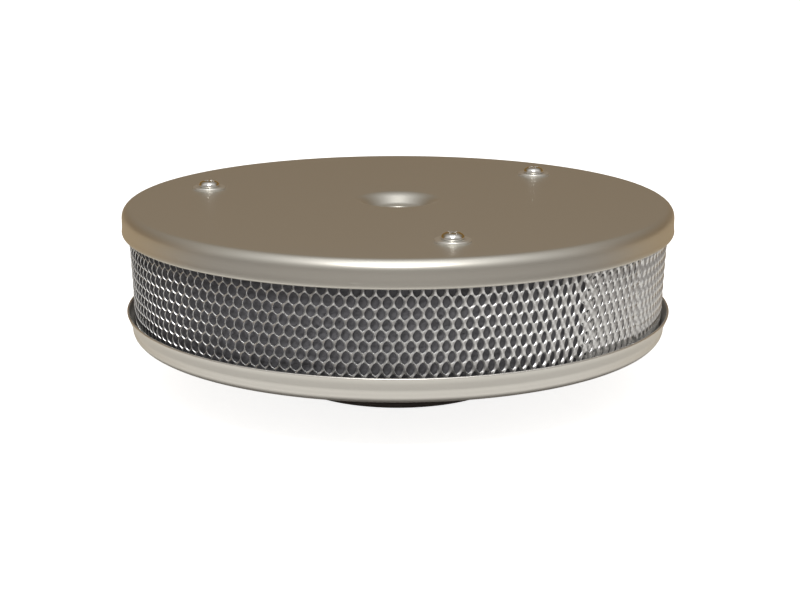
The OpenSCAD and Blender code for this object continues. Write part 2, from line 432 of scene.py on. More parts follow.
def grain_group():
    """Rolling grain: noise drawn out along one direction, fine and coarse lines together."""
    tree, given, result = new_group(
        "rolling_grain",
        [("Vector", "Vector", None), ("Fineness", "Float", 2500.0)],
        [("Height", "Float"), ("Tone", "Float")],
    )
    drawn = stretched(tree, given["Vector"], (0.02, 1.0, 1.0))
    fine = noise(tree, drawn, given["Fineness"], 2.0)
    coarse = noise(tree, drawn, times(tree, given["Fineness"], 0.22), 3.0)
    both = plus(tree, times(tree, fine, 0.6), times(tree, coarse, 0.4))
    tree.links.new(both, result["Height"])
    tree.links.new(remap(tree, coarse, 0.35, 0.65), result["Tone"])
    return tree


def scratch_group():
    """Thin scratches: the borders of drawn-out cells at two slants, kept only where a slow noise is high."""
    tree, given, result = new_group(
        "fine_scratches", [("Vector", "Vector", None), ("Density", "Float", 90.0)], [("Mask", "Float")]
    )
    masks = []
    for slant, width in ((0.6, 0.012), (-0.9, 0.009)):
        drawn = stretched(tree, given["Vector"], (0.16, 1.0, 1.0), (0.0, 0.0, slant))
        sway = add(tree, "ShaderNodeTexNoise", {"Vector": given["Vector"], "Scale": 40.0}).outputs["Color"]
        bend = stretched(tree, sway, (0.004, 0.004, 0.004))
        bent = add(tree, "ShaderNodeVectorMath", {0: drawn, 1: sway, 2: bend}, operation="MULTIPLY_ADD")
        cells = add(tree, "ShaderNodeTexVoronoi", {"Vector": bent.outputs[0], "Scale": given["Density"]},
                    feature="DISTANCE_TO_EDGE")
        line = remap(tree, cells.outputs["Distance"], 0.0, width, 1.0, 0.0)
        sparse = remap(tree, noise(tree, given["Vector"], 120.0 + 60.0 * slant, 2.0), 0.52, 0.62)
        masks.append(times(tree, line, sparse))
    tree.links.new(calc(tree, "MAXIMUM", *masks), result["Mask"])
    return tree


def smudge_group():
    """Handling marks and dull patches: slow noise pulled out of shape by itself."""
    tree, given, result = new_group(
        "smudges",
        [("Vector", "Vector", None), ("Scale", "Float", 28.0)],
        [("Mask", "Float"), ("Fine", "Float")],
    )
    slow = noise(tree, given["Vector"], given["Scale"], 5.0, 0.6, 1.2)
    fine = noise(tree, given["Vector"], times(tree, given["Scale"], 18.0), 3.0, 0.65)
    tree.links.new(remap(tree, slow, 0.38, 0.66), result["Mask"])
    tree.links.new(remap(tree, fine, 0.3, 0.7), result["Fine"])
    return tree


def speck_group():
    """Dust and small pits: the middles of a few cells only."""
    tree, given, result = new_group(
        "specks",
        [("Vector", "Vector", None), ("Density", "Float", 420.0), ("Amount", "Float", 0.12)],
        [("Mask", "Float")],
    )
    cells = add(tree, "ShaderNodeTexVoronoi", {"Vector": given["Vector"], "Scale": given["Density"]})
    dot = remap(tree, cells.outputs["Distance"], 0.08, 0.22, 1.0, 0.0)
    chosen = calc(tree, "LESS_THAN", add(
        tree, "ShaderNodeSeparateColor", {0: cells.outputs["Color"]}).outputs[0], given["Amount"])
    tree.links.new(times(tree, dot, chosen), result["Mask"])
    return tree


def rim_wear_group():
    """Wear along a round edge: strongest at the given radius, broken up by noise."""
    tree, given, result = new_group(
        "rim_wear",
        [("Vector", "Vector", None), ("Radius", "Float", 0.07), ("Width", "Float", 0.001)],
        [("Mask", "Float")],
    )
    flat = stretched(tree, given["Vector"], (1.0, 1.0, 0.0))
    out = add(tree, "ShaderNodeVectorMath", {0: flat}, operation="LENGTH").outputs["Value"]
    away = calc(tree, "ABSOLUTE", calc(tree, "SUBTRACT", out, given["Radius"]))
    near = calc(tree, "SUBTRACT", 1.0, calc(tree, "DIVIDE", away, given["Width"]), clamp=True)
    broken = remap(tree, noise(tree, given["Vector"], 260.0, 4.0, 0.65), 0.4, 0.62)
    tree.links.new(times(tree, near, broken), result["Mask"])
    return tree


EFFECTS = {}


def effect(tree, name, vector, **values):
    """Places one of the shared effects in a material."""
    if not EFFECTS:
        EFFECTS.update(grain=grain_group(), scratches=scratch_group(), smudges=smudge_group(),
                       specks=speck_group(), rim_wear=rim_wear_group())
    node = add(tree, "ShaderNodeGroup", node_tree=EFFECTS[name])
    tree.links.new(vector, node.inputs["Vector"])
    for key, value in values.items():
        node.inputs[key.capitalize()].default_value = value
    return node.outputs


class Finish:
    """A material with its Principled shader, waiting for colour, roughness and height."""

    def __init__(self, name, metallic=0.0, **constants):
        self.material = bpy.data.materials.new(name)
        self.material.use_nodes = True
        self.tree = self.material.node_tree
        self.shader = self.tree.nodes["Principled BSDF"]
        self.shader.inputs["Metallic"].default_value = metallic
        for key, value in constants.items():
            self.shader.inputs[key.replace("_", " ")].default_value = value
        self.place = add(self.tree, "ShaderNodeTexCoord").outputs["Object"]

    def finish(self, colour_out, roughness, height, depth, strength=1.0):
        """Feeds the shader; height is carried to the normal by a bump of that depth in metres."""
        bump = add(self.tree, "ShaderNodeBump", {"Height": height, "Distance": depth, "Strength": strength})
        self.tree.links.new(colour_out, self.shader.inputs["Base Color"])
        self.tree.links.new(roughness, self.shader.inputs["Roughness"])
        self.tree.links.new(bump.outputs[0], self.shader.inputs["Normal"])
        return self.material


def sheet_metal(name, rgb, roughness=0.24, dull=0.14, grain=0.35, rim=None, turn=0.0, fineness=2500.0,
                tint=(0.80, 0.74, 0.62), speck=0.05, depth=0.004 * MM):
    """Bright rolled sheet: grain lines, scratches, dull smudges, a brown bloom and bright worn rims."""
    finish = Finish(name, metallic=1.0)
    tree = finish.tree
    turned = stretched(tree, finish.place, (1.0, 1.0, 1.0), (0.0, 0.0, turn))
    lines = effect(tree, "grain", turned, fineness=fineness)
    marks = effect(tree, "scratches", finish.place)["Mask"]
    smudge = effect(tree, "smudges", finish.place)
    dust = effect(tree, "specks", finish.place, amount=speck)["Mask"]
    browned = rgba([a * b for a, b in zip(rgb, tint)])
    bloom = mixed(tree, times(tree, smudge["Mask"], 0.35), rgba(rgb), browned)
    shade = mixed(tree, times(tree, lines["Tone"], 0.12), bloom, rgba(rgb, 0.8))
    shade = mixed(tree, times(tree, marks, 0.5), shade, rgba(rgb, 1.15))
    shade = mixed(tree, times(tree, dust, 0.6), shade, rgba(rgb, 0.35))
    rough = plus(tree, times(tree, smudge["Mask"], dull), roughness)
    rough = plus(tree, rough, times(tree, smudge["Fine"], 0.05))
    rough = plus(tree, rough, times(tree, marks, 0.12))
    if rim:
        worn = effect(tree, "rim_wear", finish.place, radius=rim[0], width=rim[1])["Mask"]
        shade = mixed(tree, times(tree, worn, 0.5), shade, rgba(rgb, 1.2))
        rough = calc(tree, "SUBTRACT", rough, times(tree, worn, 0.06))
    height = calc(tree, "SUBTRACT", times(tree, lines["Height"], grain), times(tree, marks, 0.8))
    height = plus(tree, height, times(tree, smudge["Fine"], 0.15))
    return finish.finish(shade, rough, height, depth)


def turned_metal(name, rgb, roughness=0.2):
    """Plated small parts: fine tool rings, tiny knocks and a little grime."""
    finish = Finish(name, metallic=1.0)
    tree = finish.tree
    rings = noise(tree, stretched(tree, finish.place, (60.0, 60.0, 9000.0)), 1.0, 2.0)
    knocks = effect(tree, "specks", finish.place, density=900.0, amount=0.18)["Mask"]
    smudge = effect(tree, "smudges", finish.place, scale=160.0)
    marks = effect(tree, "scratches", finish.place, density=420.0)["Mask"]
    grime = rgba((0.52 * rgb[0], 0.46 * rgb[1], 0.36 * rgb[2]))
    shade = mixed(tree, times(tree, smudge["Mask"], 0.45), rgba(rgb), grime)
    shade = mixed(tree, times(tree, knocks, 0.5), shade, rgba(rgb, 0.55))
    rough = plus(tree, times(tree, smudge["Mask"], 0.16), roughness)
    rough = plus(tree, rough, times(tree, marks, 0.15))
    height = calc(tree, "SUBTRACT", times(tree, rings, 0.4), times(tree, knocks, 0.8))
    return finish.finish(shade, rough, height, 0.012 * MM)


def expanded_metal(name, rgb):
    """Raw slit and stretched sheet: pale, a little dull, each strand a shade of its own."""
    finish = Finish(name, metallic=1.0)
    tree = finish.tree
    smudge = effect(tree, "smudges", finish.place, scale=45.0)
    grit = noise(tree, finish.place, 2600.0, 3.0, 0.6)
    strand = noise(tree, finish.place, 420.0, 1.0)
    dust = effect(tree, "specks", finish.place, density=1500.0, amount=0.1)["Mask"]
    shade = mixed(tree, remap(tree, strand, 0.35, 0.65, 0.0, 0.35), rgba(rgb), rgba(rgb, 0.72))
    browned = rgba((rgb[0] * 0.8, rgb[1] * 0.76, rgb[2] * 0.68))
    shade = mixed(tree, times(tree, smudge["Mask"], 0.25), shade, browned)
    shade = mixed(tree, times(tree, dust, 0.5), shade, rgba(rgb, 0.4))
    rough = plus(tree, times(tree, grit, 0.2), 0.30)
    rough = plus(tree, rough, times(tree, smudge["Mask"], 0.1))
    return finish.finish(shade, rough, plus(tree, grit, times(tree, strand, 0.6)), 0.02 * MM)


def rubber(name, rgb, roughness=0.62):
    """Matt rubber: mould grain, grey bloom, dust and a few scuffs."""
    finish = Finish(name, Specular_IOR_Level=0.42)
    tree = finish.tree
    smudge = effect(tree, "smudges", finish.place, scale=60.0)
    grain = noise(tree, finish.place, 3200.0, 3.0, 0.6)
    dust = effect(tree, "specks", finish.place, density=1100.0, amount=0.16)["Mask"]
    marks = effect(tree, "scratches", finish.place, density=150.0)["Mask"]
    pale = rgba((rgb[0] * 2.6 + 0.02, rgb[1] * 2.5 + 0.019, rgb[2] * 2.3 + 0.016))
    shade = mixed(tree, times(tree, smudge["Mask"], 0.4), rgba(rgb), pale)
    shade = mixed(tree, times(tree, dust, 0.5), shade, (0.22, 0.20, 0.17, 1.0))
    shade = mixed(tree, times(tree, marks, 0.3), shade, pale)
    rough = plus(tree, times(tree, smudge["Mask"], 0.16), roughness)
    return finish.finish(shade, rough, plus(tree, grain, times(tree, marks, 0.4)), 0.03 * MM)


def open_foam(name, dark, light, pore):
    """Open-cell foam: pores darkened with painted shade between paler cell walls at two sizes, blotched by
    trapped dust.
    """
    finish = Finish(name, Specular_IOR_Level=0.25, Sheen_Weight=0.15)
    tree = finish.tree
    cells, small = (
        add(tree, "ShaderNodeTexVoronoi", {"Vector": finish.place, "Scale": s}, feature="DISTANCE_TO_EDGE")
        for s in (1.0 / pore, 2.3 / pore))
    wall = remap(tree, cells.outputs["Distance"], 0.02, 0.30, 1.0, 0.0)
    thin = remap(tree, small.outputs["Distance"], 0.02, 0.25, 1.0, 0.0)
    both = calc(tree, "MAXIMUM", wall, times(tree, thin, 0.6))
    blotch = remap(tree, noise(tree, finish.place, 520.0, 3.0, 0.6), 0.34, 0.66)
    dust = effect(tree, "smudges", finish.place, scale=90.0)
    lightness = times(tree, both, plus(tree, times(tree, blotch, 0.8), 0.2))
    # Painted shade: the cell middles, which are the pores, take the dark colour and the cell walls take the
    # light one.
    shade = mixed(tree, lightness, rgba(dark), rgba(light))
    shade = mixed(tree, times(tree, dust["Mask"], 0.25), shade, rgba((0.25, 0.23, 0.20)))
    rough = plus(tree, times(tree, blotch, 0.15), 0.8)
    return finish.finish(shade, rough, plus(tree, both, times(tree, blotch, 0.5)), 0.25 * MM)


def finish_for(slot):
    """The material of a slot, made when it is first asked for."""
    if slot in bpy.data.materials:
        return bpy.data.materials[slot]
    c = bpy.context.scene.finish_colours
    pan_r, cover_r = reach_of("base_pan"), reach_of("cover")
    makers = {
        # The cover's colour is neutral steel with a painted brown reflection in it.
        "cover_steel": lambda: sheet_metal(
            slot, c.cover_steel, 0.105, 0.05, 0.35, (cover_r - 1.2 * MM, 1.6 * MM)),
        "pan_steel": lambda: sheet_metal(slot, c.pan_steel, 0.2, 0.1, 0.4, (pan_r, 0.9 * MM), turn=0.7),
        "screen_steel": lambda: expanded_metal(slot, c.screen_steel),
        "tinplate": lambda: sheet_metal(
            slot, c.tinplate, 0.36, 0.2, 0.3, turn=1.3, tint=(0.8, 0.8, 0.78), speck=0.12),
        "screw_steel": lambda: turned_metal(slot, c.screw_steel, 0.14),
        "washer_steel": lambda: turned_metal(slot, c.washer_steel, 0.26),
        "pillar_steel": lambda: turned_metal(slot, c.pillar_steel, 0.3),
        "spigot_steel": lambda: sheet_metal(slot, c.spigot_steel, 0.3, 0.16, 0.3, turn=0.3),
        "seal_rubber": lambda: rubber(slot, c.seal_rubber, 0.7),
        "sleeve_rubber": lambda: rubber(slot, c.sleeve_rubber, 0.55),
        "filter_foam": lambda: open_foam(slot, c.foam, c.foam_light, bpy.context.scene.filter_sizes.pore),
    }
    return makers[slot]()


def settle(piece, body, node, slot):
    """Gives a finished piece its material, its body, and the frame's node that it stands for."""
    piece.data.materials.append(finish_for(slot))
    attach(piece, body)
    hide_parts(node)
    return piece


# ---------------------------------------------------------------- the pieces


def cover_outline(sizes):
    """Section of the cover from the stud hole out: dish floor, soft slope, flat top, edge, skirt and hem."""
    r, top, foot = reach_of("cover"), top_of("cover"), foot_of("cover")
    half = sizes.sheet / 2
    flat_z, dish_z, skirt_r = top - half, top - sizes.dish_depth - half, r - half - sizes.hem_step
    corners = [
        (sizes.stud_hole_d / 2 + half, dish_z),
        (sizes.dish_floor_d / 2 + half, dish_z),
        (sizes.dish_d / 2 - 0.6 * MM, flat_z),
        (skirt_r, flat_z),
        (skirt_r, foot + sizes.hem * 1.25),
        (r - sizes.hem / 2, foot + sizes.hem / 2),
    ]
    radii = [2.6 * MM, 4.2 * MM, sizes.edge_radius - half, 0.8 * MM]
    path = evened(rounded_path(corners, radii, 9), 1.2 * MM)
    near_hem = smooth((foot + sizes.hem * 1.35 - path[:, 1]) / (sizes.hem * 0.6))
    thickness = sizes.sheet + (sizes.hem - sizes.sheet) * near_hem
    return sheet_outline(path, thickness, 7)


def cover_piece(sizes, segments=480, half_columns=5):
    """The cover: its section turned about the axis, with a round hole at each screw let into the grid.
    A hole's rings run from the edge of the removed block of cells to the circle, straight across."""
    outline = cover_outline(sizes)
    grid = lathed(outline, segments, FIRST_SCREW)
    flat = grid[..., :2]
    out = np.linalg.norm(flat, axis=-1)
    places = screw_places()
    gap = np.min(np.linalg.norm(flat[:, :, None] - places, axis=-1), axis=-1)
    past_dish = smooth((out - sizes.dish_d / 2 - 1 * MM) / (8 * MM))
    inside = past_dish * smooth((reach_of("cover") - 3 * MM - out) / (9 * MM))
    grid[..., 2] += sizes.pillow * inside * (1 - np.exp(-((gap / (9 * MM)) ** 2)))
    grid[..., 2] += 0.03 * MM * inside * smooth(gap / (12 * MM)) * ripple(grid * (1, 1, 0), 40 * MM, 3)
    knock = (-9.8 * MM, -reach_of("cover") * 0.99, foot_of("cover") + 1.0 * MM)
    nick = np.exp(-(((grid - knock) ** 2).sum(-1)) / (0.7 * MM) ** 2)
    grid[..., 1] -= 0.16 * MM * nick
    points = [grid.reshape(-1, 3)]
    total, rows = segments * len(outline), len(outline)
    cells = grid_faces(segments, rows)
    keep = np.ones((segments, rows), bool)
    near = np.abs(outline[:, 0] - SCREW_CIRCLE) < 3.9 * MM
    height, middle = outline[:, 1], top_of("cover") - sizes.sheet / 2
    sides = [near & (height > middle), near & (height < middle) & (height > middle - sizes.sheet)]
    extra = []
    radius, edge = sizes.screw_hole_d / 2, 0.12 * MM
    for number, place in enumerate(places):
        column = number * segments // SCREWS
        walls = []
        for side, lean in zip(sides, (-1, 1)):
            v = np.flatnonzero(side)
            u = np.arange(column - half_columns, column + half_columns + 1) % segments
            keep[np.ix_(u[:-1], v[:-1])] = False
            loop = np.concatenate([
                u[:-1] * rows + v[0], u[-1] * rows + v[:-1], u[:0:-1] * rows + v[-1], u[0] * rows + v[:0:-1]])
            start = points[0][loop]
            spoke = start[:, :2] - place
            spoke /= np.linalg.norm(spoke, axis=1, keepdims=True)
            previous = loop
            steps = ((0.35, edge, 0), (0.75, edge, 0), (1, edge, 0), (1, edge * 0.3, 0.3), (1, 0, 1))
            for travel, wide, sink in steps:
                ring = start.copy()
                ring[:, :2] += travel * (place + spoke * (radius + wide) - start[:, :2])
                ring[:, 2] += lean * sink * edge
                index = total + np.arange(len(ring))
                total += len(ring)
                points.append(ring)
                extra.append(np.stack([previous, np.roll(previous, -1), np.roll(index, -1), index], axis=1))
                previous = index
            walls.append(previous[np.argsort(np.arctan2(spoke[:, 1], spoke[:, 0]))])
        upper, lower = walls
        extra.append(np.stack([upper, np.roll(upper, -1), np.roll(lower, -1), lower], axis=1))
    return make_piece("pressed_cover", np.vstack(points), [cells[keep], np.vstack(extra)], 40.0)


def pan_outline(sizes):
    """Section of the pan from the neck hole out: floor with a pressed ring, corner, wall and flared rim."""
    foot, rim_z, rim_r = foot_of("base_pan"), top_of("base_pan"), reach_of("base_pan")
    half = sizes.sheet / 2
    z, wall = foot + half, sizes.wall_r - half
    bead = sizes.bead_h
    corners = [
        (sizes.neck_hole_r + half, z),
        (42.5 * MM, z), (44.2 * MM, z + bead), (46.8 * MM, z + bead), (48.5 * MM, z),
        (wall, z), (wall, rim_z - sizes.flare_h), (rim_r - half * 1.1, rim_z - half),
    ]
    radii = np.array([1.5, 1.2, 1.2, 1.5, sizes.corner_radius / MM - 0.3, 4.0]) * MM
    return sheet_outline(evened(rounded_path(corners, radii, 7), 1.6 * MM), sizes.sheet, 5)


def pan_shape(grid):
    """A sheet metal pan is never quite true: its rim waves by a few hundredths."""
    turn = np.arctan2(grid[..., 1], grid[..., 0])
    rise = smooth((grid[..., 2] - foot_of("base_pan")) / (7 * MM))
    wave = 0.06 * MM * np.sin(2 * turn + 0.7) + 0.04 * MM * np.sin(5 * turn + 2.0)
    grid[..., 0] -= rise * np.abs(wave) * np.cos(turn)
    grid[..., 1] -= rise * np.abs(wave) * np.sin(turn)
    return grid


def spigot_outline(sizes):
    """Section of the spigot: a tube that turns out into a flange lying on the pan floor."""
    low, high = foot_of("neck_spigot"), top_of("neck_spigot")
    r, half = sizes.bore_r + sizes.spigot_wall / 2, sizes.spigot_wall / 2
    corners = [(r, low + half), (r, high - half), (reach_of("neck_spigot") - half, high - half)]
    path = rounded_path(corners, [0.9 * MM], 6)
    return sheet_outline(evened(path, 1.2 * MM)[::-1], sizes.spigot_wall, 4)


def spigot_shape(grid):
    """Eight spot welds hold the flange: each a shallow round dimple in its top."""
    turn = TURN * np.arange(8) / 8 + 0.2
    spots = np.stack([np.cos(turn), np.sin(turn)], axis=1) * (reach_of("neck_spigot") - 2.4 * MM)
    gap = np.min(np.linalg.norm(grid[:, :, None, :2] - spots, axis=-1), axis=-1)
    upper = grid[..., 2] > top_of("neck_spigot") - 0.4 * MM
    grid[..., 2] -= 0.22 * MM * upper * smooth((1.5 * MM - gap) / (0.8 * MM))
    return grid


def sleeve_outline(sizes):
    """Section of the rubber sleeve: a wall with a rounded foot, a clamp groove and a step for the spigot."""
    low, high = foot_of("neck_sleeve"), top_of("neck_sleeve")
    r_in, r_out = sizes.bore_r, reach_of("neck_sleeve")
    step_r, step_z = r_in + sizes.spigot_wall, foot_of("neck_spigot")
    floor_r, groove_low = r_out - sizes.groove_depth, sizes.groove_foot
    groove_high = groove_low + sizes.groove_w
    corners = [
        (r_in, low), (r_out, low), (r_out, groove_low), (floor_r, groove_low + 0.15 * MM),
        (floor_r, groove_high - 0.15 * MM), (r_out, groove_high), (r_out, high),
        (step_r, high), (step_r, step_z), (r_in, step_z),
    ]
    radii = np.array([0.6, 0.5, 0.25, 0.15, 0.15, 0.25, 0.4, 0.1, 0.05, 0.1]) * MM
    loop = rounded_loop(corners, radii, 4)
    return evened(np.vstack([loop, loop[:1]]), 1.0 * MM)[:-1]


def sleeve_shape(grid):
    """Two mould lines run up the outside, where the rest of the outer face sinks slightly, more at some turns
    than at others.
    """
    turn = np.arctan2(grid[..., 1], grid[..., 0])
    out = np.hypot(grid[..., 0], grid[..., 1])
    outer = smooth((out - 28.6 * MM) / (0.6 * MM))
    line = np.exp(-((np.sin(turn - 0.35) * 30 * MM / (0.35 * MM)) ** 2))
    sink = outer * (0.10 * MM * (1 - line) + 0.05 * MM * np.abs(np.sin(1.5 * turn)))
    bulge = 1 - sink / np.maximum(out, MM)
    grid[..., :2] *= bulge[..., None]
    return grid


def pillar_rows(sizes, node):
    """Section of a pillar from the middle of its rivet head, up the outside and down its tapped hole."""
    low, high = foot_of(node), top_of(node)
    pan_z = foot_of("base_pan")
    floor_z = pan_z + bpy.context.scene.pan_sizes.sheet
    low_r, high_r = 2.5 * MM, (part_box(node)[1].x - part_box(node)[0].x) / 2
    t = np.linspace(0.12, math.pi / 2, 8)
    head = np.stack([high_r * np.sin(t), pan_z - (pan_z - low) * np.cos(t)], axis=1)
    hole, bottom = sizes.tapped_d / 2, high - sizes.tapped_depth
    body = [
        (low_r, pan_z + 0.02 * MM), (low_r, floor_z - 0.02 * MM),
        (high_r - 0.25 * MM, floor_z), (high_r, floor_z + 0.25 * MM),
        (high_r, high - 0.45 * MM), (high_r - 0.12 * MM, high - 0.14 * MM), (high_r - 0.45 * MM, high),
        (hole + 0.5 * MM, high), (hole + 0.12 * MM, high - 0.4 * MM), (hole, high - 0.55 * MM),
    ]
    z = np.linspace(high - 0.6 * MM, bottom + 0.3 * MM, 12)
    thread = np.stack([np.full_like(z, hole), z], axis=1)
    cone = [(hole, bottom), (0.3 * hole, bottom - 0.9 * MM)]
    return np.vstack([head, body, thread, cone]), low, bottom - 1.1 * MM


def pillar_piece(sizes, number):
    """A pillar turned about its own axis, with tool rings on its shank and a hammered rivet head."""
    node = f"pillar_{number}"
    outline, low, hole_foot = pillar_rows(sizes, node)
    place = screw_places()[number - 1]
    rows = lathed(outline, 72, number * 0.7)
    out = np.hypot(rows[..., 0], rows[..., 1])
    under = rows[..., 2] < foot_of("base_pan") - 0.05 * MM
    rows[..., 2] += 0.05 * MM * under * ripple(rows, 3 * MM, 40 + number)
    rings = 0.012 * MM * np.sin(rows[..., 2] * TURN / (0.45 * MM)) * (out > 3.9 * MM)
    rows[..., :2] *= (1 + rings / np.maximum(out, MM))[..., None]
    return turned_piece(f"threaded_pillar_{number}", rows, low, hole_foot, (*place, 0.0))


def screw_piece(sizes, number, turn):
    """A low round-headed screw as one turned surface, tip to crown. The thread is a V that climbs
    one pitch a turn,
    and the cross recess sinks the crown by a depth that falls off across and along each arm."""
    node = f"cover_screw_{number}"
    top = top_of(node)
    seat = top - sizes.head_h
    tip = seat - sizes.shank_l
    r, head_r = sizes.shank_d / 2, sizes.head_d / 2
    rim = 0.35 * MM
    shank_z = np.arange(tip + 0.45 * MM, seat - 0.35 * MM, sizes.pitch / 12)
    t = np.linspace(0, math.pi / 2, 12)[1:]
    crown_w = head_r * 0.62
    crown_h = sizes.head_h - rim - 0.12 * MM
    edge = np.stack([head_r - crown_w + crown_w * np.cos(t), seat + rim + crown_h * np.sin(t)], axis=1)
    out = np.linspace(head_r - crown_w, 0.04 * MM, 44)[1:]
    crown = np.stack([out, seat + rim + crown_h + 0.12 * MM * (1 - (out / (head_r - crown_w)) ** 2)], axis=1)
    outline = np.vstack([
        [(0.5 * r, tip), (0.72 * r, tip + 0.02 * MM), (0.8 * r, tip + 0.12 * MM)],
        np.stack([np.full_like(shank_z, r), shank_z], axis=1),
        [(r * 0.92, seat - 0.2 * MM), (r, seat - 0.02 * MM), (r + 0.15 * MM, seat)],
        [(head_r - 0.3 * MM, seat), (head_r - 0.08 * MM, seat + 0.06 * MM)],
        [(head_r, seat + 0.2 * MM), (head_r, seat + rim)],
        edge, crown,
    ])
    rows = lathed(outline, 112)
    x, y, z = rows[..., 0], rows[..., 1], rows[..., 2]
    wide = np.hypot(x, y)
    climb = (z - tip) / sizes.pitch - np.arctan2(y, x) / TURN
    groove = 1 - np.abs((climb % 1) * 2 - 1)
    fade = smooth((seat - 0.9 * MM - z) / (0.8 * MM)) * smooth((z - tip) / (0.9 * MM) + 0.2)
    cut = sizes.thread_depth * smooth(groove * 1.25 - 0.1) * fade * (np.abs(wide - r) < 0.02 * MM)
    rows[..., :2] *= (1 - cut / np.maximum(wide, 0.1 * MM))[..., None]

    def arm(along, across):
        along, across = np.abs(along), np.abs(across)
        half_l = sizes.recess_l / 2
        half_w = sizes.recess_w / 2 * (1.25 - 0.45 * along / half_l)
        deep = sizes.recess_depth * (1 - 0.55 * along / half_l)
        flank = smooth((half_w - across) / (0.16 * MM) + 0.5)
        return deep * flank * smooth((half_l - along) / (0.3 * MM) + 0.3)

    crowned = smooth((z - seat - rim - crown_h * 0.5) / (0.2 * MM))
    rows[..., 2] -= np.maximum(arm(x, y), arm(y, x)) * crowned
    cos, sin = math.cos(turn), math.sin(turn)
    rows[..., :2] = rows[..., :2] @ np.array([[cos, sin], [-sin, cos]])
    centre_z = outline[-1, 1] - sizes.recess_depth
    place = screw_places()[number - 1]
    return turned_piece(f"pan_head_screw_{number}", rows, tip, centre_z, (*place, 0.0), 50.0)


def washer_piece(sizes, number):
    """A plain washer: a flat ring with stamped edges, one sharper than the other."""
    node = f"screw_washer_{number}"
    low, high = foot_of(node), top_of(node)
    r_out = (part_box(node)[1].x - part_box(node)[0].x) / 2
    corners = [(sizes.washer_bore / 2, low), (r_out, low), (r_out, high), (sizes.washer_bore / 2, high)]
    outline = rounded_loop(corners, np.array([0.06, 0.1, 0.28, 0.12]) * MM, 5)
    grid = lathed(outline, 96)
    grid += (*screw_places()[number - 1], 0.0)
    return make_piece(f"flat_washer_{number}", grid.reshape(-1, 3), [grid_faces(96, len(outline))], 40.0)


def seal_piece(name, node):
    """A flat rubber ring with soft edges, pressed a little unevenly."""
    low, high = foot_of(node), top_of(node)
    outline = box_outline(60.15 * MM, low + 0.02 * MM, reach_of(node), high - 0.02 * MM, 0.4 * MM, 4)

    def uneven(grid):
        turn = np.arctan2(grid[..., 1], grid[..., 0])
        out = np.hypot(grid[..., 0], grid[..., 1])
        swell = 0.12 * MM * np.sin(7 * turn) + 0.08 * MM * np.sin(19 * turn + 1)
        grid[..., :2] *= (1 + swell * (out > 65 * MM) / out)[..., None]
        return grid

    return lathe_piece(name, outline, 300, uneven)


def end_ring_piece(name, sizes, node, upward):
    """An end ring: a flat washer of thin sheet that turns into a short upstand on its inner edge."""
    low, high = foot_of(node), top_of(node)
    half = sizes.sheet / 2
    r, plate = sizes.ring_in_r + half, (low if upward else high) + (half if upward else -half)
    tip = plate + (sizes.leg if upward else -sizes.leg)
    path = rounded_path([(r, tip), (r, plate), (reach_of(node) - half, plate)], [0.5 * MM], 6)
    return lathe_piece(name, sheet_outline(evened(path, 1.5 * MM), sizes.sheet, 3), 360)


def inner_tube_piece(sizes):
    """The perforated tube: square cells round the wall, each opened to a round hole.
    A cell's ring of 16 points goes straight from its square to its circle; odd rows stand half a cell on."""
    low, high = foot_of("inner_screen"), top_of("inner_screen")
    r_in = sizes.ring_in_r + sizes.sheet
    r_out = r_in + sizes.tube_sheet - 0.05 * MM
    columns = int(round(TURN * r_in / sizes.perforation_pitch))
    rows = int(round((high - low) / (sizes.perforation_pitch * 0.88)))
    wide, tall = TURN / columns, (high - low) / rows
    side = np.linspace(-1, 1, 5)[:-1]
    square = np.vstack([
        np.stack([side, -np.ones(4)], 1), np.stack([np.ones(4), side], 1),
        np.stack([-side, np.ones(4)], 1), np.stack([-np.ones(4), -side], 1)]) / 2
    turn = np.arctan2(square[:, 1], square[:, 0])
    circle = np.stack([np.cos(turn) / (r_in * wide), np.sin(turn) / tall], 1) * sizes.perforation_d / 2
    i, j = np.meshgrid(np.arange(columns), np.arange(rows), indexing="ij")
    middle = np.stack([(i + 0.5 * (j % 2)), j + 0.5], axis=-1).reshape(-1, 1, 2)
    edge = 0.06 * MM
    rings = [
        (square, r_out), (circle * 1.06, r_out), (circle, r_out - edge),
        (circle, r_in + edge), (circle * 1.06, r_in), (square, r_in),
    ]
    layers = []
    for shape, r in rings:
        spot = middle + shape
        a, z = spot[..., 0] * wide, low + spot[..., 1] * tall
        layers.append(np.stack([r * np.cos(a), r * np.sin(a), z], axis=-1))
    points = np.stack(layers, axis=1)
    count = len(points)
    base = grid_faces(len(rings), 16, False, True).reshape(-1, 4)
    faces = (np.arange(count) * len(rings) * 16)[:, None, None] + base[None, :, ::-1]
    points, (faces,) = welded(points.reshape(-1, 3), [faces.reshape(-1, 4)])
    return close_tube_ends(points, faces, low, high, r_in, r_out)


def close_tube_ends(points, faces, low, high, r_in, r_out):
    """Flat rings between the tube's two skins at its foot and its top."""
    out = np.hypot(points[:, 0], points[:, 1])
    turn = np.arctan2(points[:, 1], points[:, 0]) % TURN
    ends = []
    for z, flip in ((low, False), (high, True)):
        level = np.abs(points[:, 2] - z) < 0.001 * MM
        skins = []
        for r in (r_in, r_out):
            ring = np.flatnonzero(level & (np.abs(out - r) < 0.001 * MM))
            skins.append(ring[np.argsort(np.round(turn[ring], 6))])
        inner, outer = skins
        ring = np.stack([inner, np.roll(inner, -1), np.roll(outer, -1), outer], axis=1)
        ends.append(ring[:, ::-1] if flip else ring)
    return make_piece("perforated_tube", points, [faces, *ends], 30.0)


